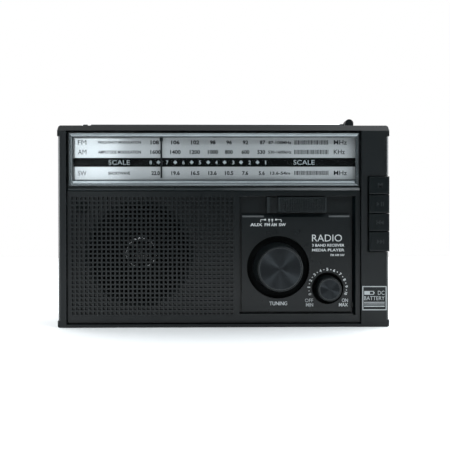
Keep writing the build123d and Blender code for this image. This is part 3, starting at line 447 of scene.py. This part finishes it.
ink.text("MHz", 73.9, 82.7, 101.1, 104.1, sd, bold=0.012)
for row, z in enumerate((123.0, 116.6, 102.6)):
    x, k = 47.4, row * 3
    while x < 70.2:
        w = (0.34, 0.52, 0.40, 0.62, 0.36)[k % 5]
        gap = (0.42, 0.34, 0.50, 0.38)[k % 4]
        ink.rect(x, min(x + w, 70.6), z - 1.45, z + 1.45, sd - T, sd)
        x += w + gap
        k += 1
ink.build()

light = Group("dial_light_lettering", M["ink_grey"], slot="dial_print")
lb = sd - 0.05
light.text("SCALE", -77.0, -62.7, 108.1, 111.2, lb, bold=0.0)
light.text("SCALE", 46.8, 61.0, 108.1, 111.2, lb, bold=0.0)
for i, x in enumerate((-48.8, -37.8, -26.9, -15.9, -4.86, 6.4, 17.4, 28.1)):
    s = str(8 - i)
    light.mid(s, x, 109.6, 2.5, 0.75 if s == "1" else 1.55, lb, bold=0.01)
for x in (-43.6, -32.4, -21.4, -10.3, 0.64, 11.6, 22.7):
    r = 1.35
    light.prism([(x - r, 109.7), (x, 109.7 - r), (x + r, 109.7), (x, 109.7 + r)], lb - 0.05, lb)
light.build()

# ------------------------------------------------------------- dial lens
lx0, lx1, ld0, ld1, lz0, lz1 = mm("dial_lens")


def ring_sections(name, mat, sections, right_mat=None, left_mat=None):
    """Closed frame: rectangular loops, each (x0, x1, z0, z1, d), joined in
    order and closed back to the first. The right-hand and left-hand bars may
    take their own materials: lit or shaded copies that paint light and shade."""
    g = Group(name, mat, slot="lens_clear")
    vs, fs = [], []
    for x0, x1, z0, z1, d in sections:
        vs += [P(x0, d, z0), P(x1, d, z0), P(x1, d, z1), P(x0, d, z1)]
    n = len(sections)
    for i in range(n):
        j = (i + 1) % n
        for k in range(4):
            l = (k + 1) % 4
            fs.append((4 * i + k, 4 * i + l, 4 * j + l, 4 * j + k))
    g.add(vs, fs)
    ob = g.build()
    if right_mat:
        ob.data.materials.append(right_mat)
        xr = min(v for s in sections for v in (s[1],)) / 1000.0 - 0.0006
        for p in ob.data.polygons:
            if all(ob.data.vertices[i].co.x > xr for i in p.vertices):
                p.material_index = 1
    if left_mat:
        ob.data.materials.append(left_mat)
        xl = max(s[0] for s in sections) / 1000.0 + 0.0006
        for p in ob.data.polygons:
            if all(ob.data.vertices[i].co.x < xl for i in p.vertices):
                p.material_index = 2
    return ob


def pane(name, mat, x0, x1, z0, z1, d1, steps):
    """Clear pane whose border is rounded in steps of (inset, depth)."""
    g = Group(name, mat, slot="lens_clear")
    loops = list(steps) + [(0.0, d1)]
    vs = []
    for e, d in loops:
        vs += [P(x0 + e, d, z0 + e), P(x1 - e, d, z0 + e), P(x1 - e, d, z1 - e), P(x0 + e, d, z1 - e)]
    n = len(loops)
    fs = [(0, 1, 2, 3), tuple(4 * (n - 1) + k for k in range(4))]
    for r in range(n - 1):
        for k in range(4):
            l = (k + 1) % 4
            fs.append((4 * r + k, 4 * r + l, 4 * r + 4 + l, 4 * r + 4 + k))
    g.add(vs, fs)
    return g.build()


lens = pane("dial_lens_pane", M["lens"], lx0, lx1, lz0, lz1, 1.2,
            [(1.2, ld0), (0.8, ld0 + 0.06), (0.5, ld0 + 0.2), (0.25, ld0 + 0.45), (0.08, ld0 + 0.8), (0.0, ld0 + 1.2)])
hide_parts("dial_lens")


def frame_strip(name, mat, inset0, inset1, d0, d1, right_mat=None, left_mat=None):
    """One step of the lens's edge, coloured with painted reflection; insets are (left, right, bottom, top)."""
    a, b = inset0, inset1
    o = (lx0 + a[0], lx1 - a[1], lz0 + a[2], lz1 - a[3])
    i = (lx0 + b[0], lx1 - b[1], lz0 + b[2], lz1 - b[3])
    return ring_sections(name, mat, [o + (d1,), o + (d0,), i + (d0 + 0.35,), i + (d1,)], right_mat, left_mat)


# painted reflections of the lens's edge: opaque strips whose colours stand in for the light and shade in the clear
# moulding's rim; a mid-grey outer wall, a painted highlight on the middle rib and painted shade on the inner lip, with
# darker copies on the right-hand bar and their own copies on the left
frame_strip("lens_edge_outer_painted_reflection", M["rim_mid"], (0.0, 0.0, 0.45, 0.0), (1.35, 0.6, 0.95, 1.05), 1.25, 3.55, M["rim_right_mid"], M["rim_left"])
frame_strip("lens_edge_rib_painted_highlight", M["rim_bright"], (1.35, 0.6, 0.95, 1.05), (1.6, 1.1, 1.45, 1.7), 1.35, 3.55, M["rim_right"], M["rim_left_lit"])
frame_strip("lens_edge_shade", M["rim_dark"], (1.6, 1.1, 1.45, 1.7), (1.75, 2.0, 2.0, 2.3), 1.5, 3.55, M["rim_right_dark"], M["rim_left_lit"])

# lower reveal of the dial window: a painted highlight strip with a painted shade line above it, standing in for the
# reflections along the lens's lower edge
sill = Group("dial_window_sill_painted_highlight", M["rim_bright"], slot="lens_clear")
sill.rect(lx0 + 2.0, lx1 - 2.4, lz0 + 2.15, lz0 + 3.75, 2.6, 3.55)
sill.build()
line = Group("dial_window_line_painted_shade", M["sill_line"], slot="lens_clear")
line.rect(lx0 + 2.0, lx1 - 2.4, lz0 + 3.75, lz0 + 4.5, 2.4, 3.55)
line.build()

# --------------------------------------------------------- plate lettering
_, _, pd, _, _, _ = mm("control_plate")
pw = Group("plate_lettering", M["white"], slot="fascia_plastic")
pw.text("AUX", 17.6, 25.6, 66.9, 68.9, pd, bold=0.025)
pw.text("FM", 27.1, 30.7, 66.9, 68.9, pd, bold=0.025)
pw.text("AM", 31.5, 35.1, 66.9, 68.9, pd, bold=0.025)
pw.text("SW", 36.6, 41.2, 66.9, 68.9, pd, bold=0.025)
t = 0.17
for x in (27.5, 30.1, 32.2, 34.65):
    pw.rect(x - 0.55, x + 0.55, 70.75, 71.75, pd - T, pd)
for x0, x1, z0, z1 in ((24.45, 26.95, 71.25 - t, 71.25 + t), (24.45 - t, 24.45 + t, 69.6, 71.25 - t),
                       (35.2, 38.2, 71.25 - t, 71.25 + t), (38.2 - t, 38.2 + t, 69.6, 71.25 - t),
                       (30.1 - t, 30.1 + t, 69.5, 70.75), (32.2 - t, 32.2 + t, 69.5, 70.75)):
    pw.rect(x0, x1, z0, z1, pd - T, pd)
pw.text("RADIO", 58.7, 78.6, 56.7, 61.3, pd, bold=-0.004)
pw.text("3 BAND RECEIVER", 58.7, 80.2, 53.3, 55.1, pd, bold=0.02)
pw.text("MEDIA PLAYER", 58.7, 80.2, 50.1, 51.9, pd, bold=0.02)
pw.text("FM AM SW", 71.0, 80.4, 46.9, 48.4, pd, bold=0.02)
pw.text("TUNING", 30.3, 42.1, 14.3, 16.8, pd, bold=0.01)
pw.text("OFF", 54.0, 59.4, 16.3, 18.7, pd, bold=0.0)
pw.text("MIN", 54.6, 59.4, 13.4, 15.7, pd, bold=0.02)
pw.text("ON", 78.6, 82.6, 16.3, 18.7, pd, bold=0.0)
pw.text("MAX", 76.6, 82.6, 13.4, 15.7, pd, bold=0.02)
vx0, vx1, _, _, vz0, vz1 = mm("volume_knob")
vx, vz = (vx0 + vx1) / 2, (vz0 + vz1) / 2
for i in range(11):
    a = math.radians(198.6 - 21.5 * i)
    cx, cz = vx + 12.55 * math.cos(a), vz + 12.55 * math.sin(a)
    s = str(i)
    pw.mid(s, cx, cz, 1.9, 0.7 if s == "1" else 1.9 if i == 10 else 1.35, pd, bold=0.03, turn=a - math.pi / 2)
    if i < 10:
        a -= math.radians(10.75)
        pw.disc(vx + 12.55 * math.cos(a), vz + 12.55 * math.sin(a), 0.36, pd - T, pd, 10)
pw.build()

# -------------------------------------------------------------- badge print
bx0, bx1, bd, _, bz0, bz1 = mm("power_badge")
bp = Group("badge_print", M["badge_print"], slot="badge_print")
w = 0.62
for x0, x1, z0, z1 in ((bx0 + .1, bx1 - .1, bz0 + .1, bz0 + .1 + w), (bx0 + .1, bx1 - .1, bz1 - .1 - w, bz1 - .1),
                       (bx0 + .1, bx0 + .1 + w, bz0 + .1 + w, bz1 - .1 - w), (bx1 - .1 - w, bx1 - .1, bz0 + .1 + w, bz1 - .1 - w)):
    bp.rect(x0, x1, z0, z1, bd - T, bd)
bp.rect(92.9, 96.6, 21.5, 24.0, bd - T, bd)
for x0, x1, z0, z1 in ((96.6, 99.3, 23.55, 24.0), (96.6, 99.3, 21.5, 21.95), (98.85, 99.3, 21.95, 23.55), (99.3, 99.8, 22.3, 23.2)):
    bp.rect(x0, x1, z0, z1, bd - T, bd)
bp.text("DC", 101.9, 106.3, 21.4, 24.1, bd, bold=0.0)
bp.text("BATTERY", 92.75, 106.4, 17.9, 20.5, bd, bold=0.0)
for z0, z1 in ((16.25, 16.75), (15.15, 15.6), (13.5, 14.2)):
    bp.rect(92.7, 106.4, z0, z1, bd - T, bd)
bp.build()

# ------------------------------------------------------------- key symbols
def key_mark(name, node, body, kind):
    x0, x1, d0, _, z0, z1 = mm(node)
    cx, cz = (x0 + 1.2 + x1) / 2, (z0 + z1) / 2
    g = Group(name, M["emboss"], body, slot="key_plastic")
    d1, d = d0 + 0.02, d0 - 0.12

    def tri(x, sgn, h=1.5):
        g.prism([(x, cz - h), (x + sgn * 1.9, cz), (x, cz + h)], d, d1)
    if kind == "mode":
        g.text("M", cx - 1.6, cx + 1.6, cz - 1.6, cz + 1.6, d1, thick=0.14)
    if kind == "play":
        tri(cx - 2.4, 1)
        g.rect(cx + 0.4, cx + 1.0, cz - 1.5, cz + 1.5, d, d1)
        g.rect(cx + 1.7, cx + 2.3, cz - 1.5, cz + 1.5, d, d1)
    if kind == "previous":
        tri(cx + 0.1, -1)
        tri(cx + 2.2, -1)
        g.rect(cx - 2.5, cx - 2.0, cz - 1.5, cz + 1.5, d, d1)
    if kind == "next":
        tri(cx - 2.2, 1)
        tri(cx - 0.1, 1)
        g.rect(cx + 2.0, cx + 2.5, cz - 1.5, cz + 1.5, d, d1)
    g.build()


key_mark("mark_mode", "mode_key", "key_mode", "mode")
key_mark("mark_play", "play_key", "key_play", "play")
key_mark("mark_previous", "previous_key", "key_previous", "previous")
key_mark("mark_next", "next_key", "key_next", "next")

# ------------------------------------------------------------ slider knurl
x0, x1, d0, _, z0, z1 = mm("band_slider")
kn = Group("slider_knurl", M["slider"], "band_selector", slot="key_plastic")
kx0, kx1, kz0, kz1 = 37.0, x1 - 0.9, z0 + 0.9, z1 - 0.9
nx, nz = 26, 8
px_, pz_ = (kx1 - kx0) / nx, (kz1 - kz0) / nz
for i in range(nx):
    for j in range(nz):
        ax, az = kx0 + px_ * i, kz0 + pz_ * j
        e = 0.14
        q = [(ax + e, az + e), (ax + px_ - e, az + e), (ax + px_ - e, az + pz_ - e), (ax + e, az + pz_ - e)]
        cxk, czk = ax + px_ / 2, az + pz_ / 2
        top = [(cxk + (x - cxk) * 0.5, czk + (z - czk) * 0.5) for x, z in q]
        vs = [P(x, d0 + 0.05, z) for x, z in q] + [P(x, d0 - 0.32, z) for x, z in top]
        kn.add(vs, [(3, 2, 1, 0), (4, 5, 6, 7), (0, 1, 5, 4), (1, 2, 6, 5), (2, 3, 7, 6), (3, 0, 4, 7)])
kn.build()

# ------------------------------------------------------------- cone rings
def torus(name, mat, cx, cz, d, R, r, body="root", n=64, k=12, slot="dust_cap_gloss"):
    g = Group(name, mat, body, slot)
    vs, fs = [], []
    for i in range(n):
        a = 2 * math.pi * i / n
        for j in range(k):
            b = 2 * math.pi * j / k
            rr = R + r * math.cos(b)
            vs.append(P(cx + rr * math.cos(a), d + r * math.sin(b), cz + rr * math.sin(a)))
    for i in range(n):
        for j in range(k):
            fs.append((i * k + j, i * k + (j + 1) % k, ((i + 1) % n) * k + (j + 1) % k, ((i + 1) % n) * k + j))
    g.add(vs, fs)
    return g.build(smooth=True)


cx0, cx1, cd0, cd1, cz0, cz1 = mm("speaker_dust_cap")
torus("dust_cap_glue", M["cap_ring"], (cx0 + cx1) / 2, (cz0 + cz1) / 2, cd1 - 0.75, (cx1 - cx0) / 2 - 0.4, 1.1)

# ------------------------------------------- painted shade: near-black liners in the knob wells, darkening the recesses where shade falls
def ring(name, mat, cx, cz, r0, r1, d0, d1, body="root", slot="knob_plastic", n=96):
    g = Group(name, mat, body, slot)
    vs, fs = [], []
    for i in range(n):
        a = 2 * math.pi * i / n
        for r, d in ((r0, d0), (r1, d0), (r1, d1), (r0, d1)):
            vs.append(P(cx + r * math.cos(a), d, cz + r * math.sin(a)))
    for i in range(n):
        j = (i + 1) % n
        for k in range(4):
            l = (k + 1) % 4
            fs.append((4 * i + k, 4 * i + l, 4 * j + l, 4 * j + k))
    g.add(vs, fs)
    return g.build()


tx0, tx1, _, _, tz0, tz1 = mm("tuning_knob")
tx, tz = (tx0 + tx1) / 2, (tz0 + tz1) / 2
fd = mm("control_plate")[3]
ring("tuning_well_floor", M["well"], tx, tz, 12.0, 20.7, fd - 0.12, fd)
ring("tuning_well_wall", M["well"], tx, tz, 20.45, 20.75, pd + 0.35, fd - 0.12)
ring("volume_well_floor", M["well"], vx, vz, 5.6, 10.45, fd - 0.12, fd)
ring("volume_well_wall", M["well"], vx, vz, 10.2, 10.5, pd + 0.35, fd - 0.12)

# thin light lines round the spun discs
for nm, node, body in (("tuning_disc_line", "tuning_knob_disc", "tuning_control"), ("volume_disc_line", "volume_knob_disc", "volume_control")):
    qx0, qx1, qd0, qd1, qz0, qz1 = mm(node)
    qr = (qx1 - qx0) / 2
    ring(nm, M["rim_line"], (qx0 + qx1) / 2, (qz0 + qz1) / 2, qr - 0.42, qr + 0.02, qd0 - 0.06, qd1 - 0.02, body=body)

# dark sheet behind the grille, open where the loudspeaker sits
gx0, gx1, gd0, gd1, gz0, gz1 = mm("speaker_grille")
sheet = Group("grille_backing_sheet", M["backing"], slot="fascia_plastic")
scx, scz, sr, sn = (cx0 + cx1) / 2, (cz0 + cz1) / 2, 33.0, 96
vs, fs = [], []
outer = []
for i in range(sn):
    a = 2 * math.pi * (i + 0.5) / sn
    c, q = math.cos(a), math.sin(a)
    kx = ((gx1 - 0.3 - scx) if c > 0 else (gx0 + 0.3 - scx)) / c
    kz = ((gz1 - 0.3 - scz) if q > 0 else (gz0 + 0.3 - scz)) / q
    k = min(kx, kz)
    outer.append((scx + k * c, scz + k * q))
for dd in (gd1 + 0.02, gd1 + 0.10):
    for i in range(sn):
        a = 2 * math.pi * (i + 0.5) / sn
        vs += [P(scx + sr * math.cos(a), dd, scz + sr * math.sin(a)), P(outer[i][0], dd, outer[i][1])]
for i in range(sn):
    j = (i + 1) % sn
    a0, a1, b0, b1 = 2 * i, 2 * i + 1, 2 * j, 2 * j + 1
    e = 2 * sn
    fs += [(a0, b0, b1, a1), (a0 + e, a1 + e, b1 + e, b0 + e), (a1, b1, b1 + e, a1 + e), (a0, a0 + e, b0 + e, b0)]
sheet.add(vs, fs)
sheet.build()

# painted highlight: a pale strip where the plate's upper bevel meets its face, standing in for light caught there
px0, px1, _, _, pz0, pz1 = mm("control_plate")
ar = Group("plate_upper_arris", M["arris"], slot="fascia_plastic")
sl0, sl1 = mm("band_slider")[0] - 2.0, mm("band_slider")[1] + 2.0
for q0, q1 in ((px0 + 0.4, sl0), (sl1, px1 - 0.4)):
    vs = [P(x, d, z) for x in (q0, q1) for d, z in ((pd + 0.62, pz1 - 0.95), (pd + 0.10, pz1 - 1.55), (pd - 0.05, pz1 - 2.1), (pd + 0.75, pz1 - 2.1))]
    ar.add(vs, [(0, 1, 2, 3), (7, 6, 5, 4), (0, 4, 5, 1), (1, 5, 6, 2), (2, 6, 7, 3), (3, 7, 4, 0)])
ar.build()

# painted highlight along the ledge under the dial: a pale strip that darkens towards the left, standing in for light
# from the upper right
fz = mm("front_fascia")[2]
for nm, mt, b0x, b1x in (("ledge_bead", M["bead"], lx0 - 0.6, lx1 + 0.6),):
    bead = Group(nm, mt, slot="fascia_plastic")
    vs = [P(x, d, z) for x in (b0x, b1x) for d, z in ((fz + 0.05, lz0 - 0.75), (fz - 0.8, lz0 - 1.45), (fz - 0.8, lz0 - 2.05), (fz + 0.05, lz0 - 2.6))]
    bead.add(vs, [(0, 1, 2, 3), (7, 6, 5, 4), (0, 4, 5, 1), (1, 5, 6, 2), (2, 6, 7, 3), (3, 7, 4, 0)])
    bead.build()

# thin webs that close the slits between the side keys
webs = Group("key_slit_webs", M["key"], slot="key_plastic")
kx0, kx1 = mm("mode_key")[0] - 0.1, mm("mode_key")[1] - 0.25
for lower, upper in (("play_key", "mode_key"), ("previous_key", "play_key"), ("next_key", "previous_key")):
    zc = (mm(lower)[5] + mm(upper)[4]) / 2
    webs.rect(kx0, kx1, zc - 0.11, zc + 0.11, -0.5, 8.9)
webs.build()

# ------------------------------------------------------------------ floor
def plane(name, x0, x1, y0, y1, mat):
    me = bpy.data.meshes.new(name)
    me.from_pydata([(x0, y0, 0), (x1, y0, 0), (x1, y1, 0), (x0, y1, 0)], [], [(0, 1, 2, 3)])
    me.materials.append(mat)
    ob = bpy.data.objects.new(name, me)
    scene.collection.objects.link(ob)
    return ob


mt_floor = surface("floor_pale", (0.945, 0.95, 0.955), rough=0.9, grain=300, grain_bump=0.02, tone=0.01, specular=0.1)
for node in mt_floor.node_tree.nodes:
    if node.type == 'BSDF_PRINCIPLED':
        node.inputs["Emission Color"].default_value = (1, 1, 1, 1)
        node.inputs["Emission Strength"].default_value = 0.14
floor = plane("floor", -1.1, 1.1, -0.50, 0.70, mt_floor)


# ----------------------------------------------------------------- lights
COOL = (0.945, 1.0, 1.03)


def area(name, loc, target, sx, sy, radiance, color=COOL):
    ld = bpy.data.lights.new(name, 'AREA')
    ld.shape = 'RECTANGLE'
    ld.size, ld.size_y = sx, sy
    ld.energy = radiance * math.pi * sx * sy
    ld.color = color
    ob = bpy.data.objects.new(name, ld)
    ob.location = loc
    dirv = Vector(target) - Vector(loc)
    ob.rotation_euler = dirv.to_track_quat('-Z', 'Y').to_euler()
    scene.collection.objects.link(ob)
    return ob


area("top_softbox", (0.95, 0.62, 1.15), (0.85, 0.58, 0), 2.6, 1.5, 1.15)
# two heads high at the front, left and right
area("head_left", (-0.60, -0.55, 0.66), (0.04, 0, 0.04), 0.40, 0.40, 5.6)
area("head_right", (0.66, -0.52, 0.64), (0.04, 0, 0.04), 0.40, 0.40, 8.6)
# large boxes beside the object, slightly behind it: they light its rounded edges
area("side_left", (-1.05, 0.45, 0.32), (-0.1, 0.05, 0.08), 1.0, 0.8, 4.5)
area("side_right", (1.05, 0.45, 0.32), (0.1, 0.05, 0.08), 1.0, 0.8, 4.5)
# narrow upright box in front on the left: its mirror image is the pale patch on the dial
area("dial_softbox", (-0.2135, YF - 0.600, 0.198), (-0.2135, 0.0, 0.198), 0.093, 0.157, 3.3)
area("dial_softbox_dim", (-0.115, YF - 0.600, 0.190), (-0.115, 0.0, 0.190), 0.10, 0.17, 0.34)
area("dial_softbox_right", (0.185, YF - 0.600, 0.150), (0.185, 0.0, 0.150), 0.16, 0.075, 0.45)

world = bpy.data.worlds.new("studio")
scene.world = world
world.use_nodes = True
wt = world.node_tree
wt.nodes.clear()
wo = wt.nodes.new("ShaderNodeOutputWorld")
lp = wt.nodes.new("ShaderNodeLightPath")
bg1 = wt.nodes.new("ShaderNodeBackground")
bg1.inputs["Color"].default_value = (1, 1, 1, 1)
bg1.inputs["Strength"].default_value = 1.0
bg2 = wt.nodes.new("ShaderNodeBackground")
tcw = wt.nodes.new("ShaderNodeTexCoord")
sep = wt.nodes.new("ShaderNodeSeparateXYZ")
wt.links.new(tcw.outputs["Generated"], sep.inputs["Vector"])
# white sweep behind, dim room in front
ramp = wt.nodes.new("ShaderNodeValToRGB")
half = wt.nodes.new("ShaderNodeMapRange")
half.inputs["From Min"].default_value = -1.0
half.inputs["From Max"].default_value = 1.0
wt.links.new(sep.outputs["Y"], half.inputs["Value"])
ramp.color_ramp.elements[0].position = 0.0
ramp.color_ramp.elements[0].color = (0.030, 0.034, 0.036, 1)
ramp.color_ramp.elements[1].position = 0.66
ramp.color_ramp.elements[1].color = (1.0, 1.0, 1.0, 1)
mid = ramp.color_ramp.elements.new(0.52)
mid.color = (0.045, 0.050, 0.053, 1)
wt.links.new(half.outputs["Result"], ramp.inputs["Fac"])
low = wt.nodes.new("ShaderNodeMapRange")
low.inputs["From Min"].default_value = -0.12
low.inputs["From Max"].default_value = 0.02
low.inputs["To Min"].default_value = 0.7
low.inputs["To Max"].default_value = 1.0
wt.links.new(sep.outputs["Z"], low.inputs["Value"])
mulw = wt.nodes.new("ShaderNodeMath")
mulw.operation = 'MULTIPLY'
mulw.inputs[1].default_value = 1.5
wt.links.new(low.outputs["Result"], mulw.inputs[0])
wt.links.new(ramp.outputs["Color"], bg2.inputs["Color"])
wt.links.new(mulw.outputs["Value"], bg2.inputs["Strength"])
mixw = wt.nodes.new("ShaderNodeMixShader")
wt.links.new(lp.outputs["Is Camera Ray"], mixw.inputs["Fac"])
wt.links.new(bg2.outputs["Background"], mixw.inputs[1])
wt.links.new(bg1.outputs["Background"], mixw.inputs[2])
wt.links.new(mixw.outputs["Shader"], wo.inputs["Surface"])
